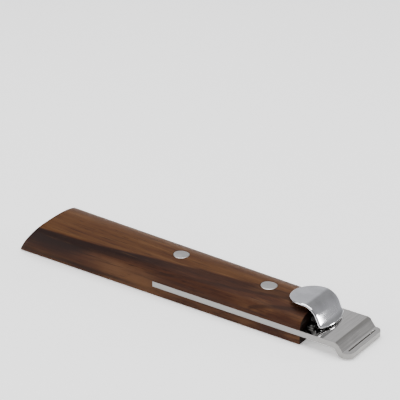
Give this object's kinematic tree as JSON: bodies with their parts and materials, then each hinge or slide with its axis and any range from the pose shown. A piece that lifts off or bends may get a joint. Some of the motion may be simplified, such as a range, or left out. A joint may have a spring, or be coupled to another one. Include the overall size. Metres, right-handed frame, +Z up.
{
  "type": "bread lame",
  "caption": "Scoring knife holder: hardwood handle, riveted steel blade plate with a stepped lip, and a sprung chromed thumb clip that opens to take a thin razor blade.",
  "frame": {"origin": "bottom centre of the bounding box, on the handle's flat underside", "axes": "+X along the handle towards the blade end, +Z up out of the crowned top of the handle, +Y across the width"},
  "size_m": [0.1434, 0.022, 0.0147],
  "materials": {
    "handle_wood": "dark walnut with brown and near-black lengthwise streaks, oiled satin",
    "satin_steel": "satin stainless steel, brushed across the plate",
    "rivet_steel": "ground flush with the wood, satin",
    "lever_chrome": "polished chrome",
    "spring_steel": "dark drawn wire"
  },
  "bodies": {
    "handle": {"handle_block": "handle_wood", "blade_plate": "satin_steel", "rivet_rear_top": "rivet_steel", "rivet_rear_bottom": "rivet_steel", "rivet_front_top": "rivet_steel", "rivet_front_bottom": "rivet_steel", "pivot_bracket": "satin_steel", "pivot_pin": "rivet_steel", "pin_ring_near": "spring_steel", "pin_ring_far": "spring_steel", "bracket_rivet_near": "rivet_steel", "bracket_rivet_far": "rivet_steel", "torsion_spring": "spring_steel"},
    "lever": {"thumb_lever": "lever_chrome", "lever_lug_near": "satin_steel", "lever_lug_far": "satin_steel"}
  },
  "joints": [
    {"name": "thumb_hinge", "type": "hinge", "parent": "handle", "child": "lever", "pos_m": [0.0542, 0, 0.0076], "axis": [0, -1, 0], "range_deg": [0, 2.2], "stiffness_Nm_per_rad": 0.002, "springref_deg": -14.32, "deforming": ["torsion_spring"]}
  ]
}
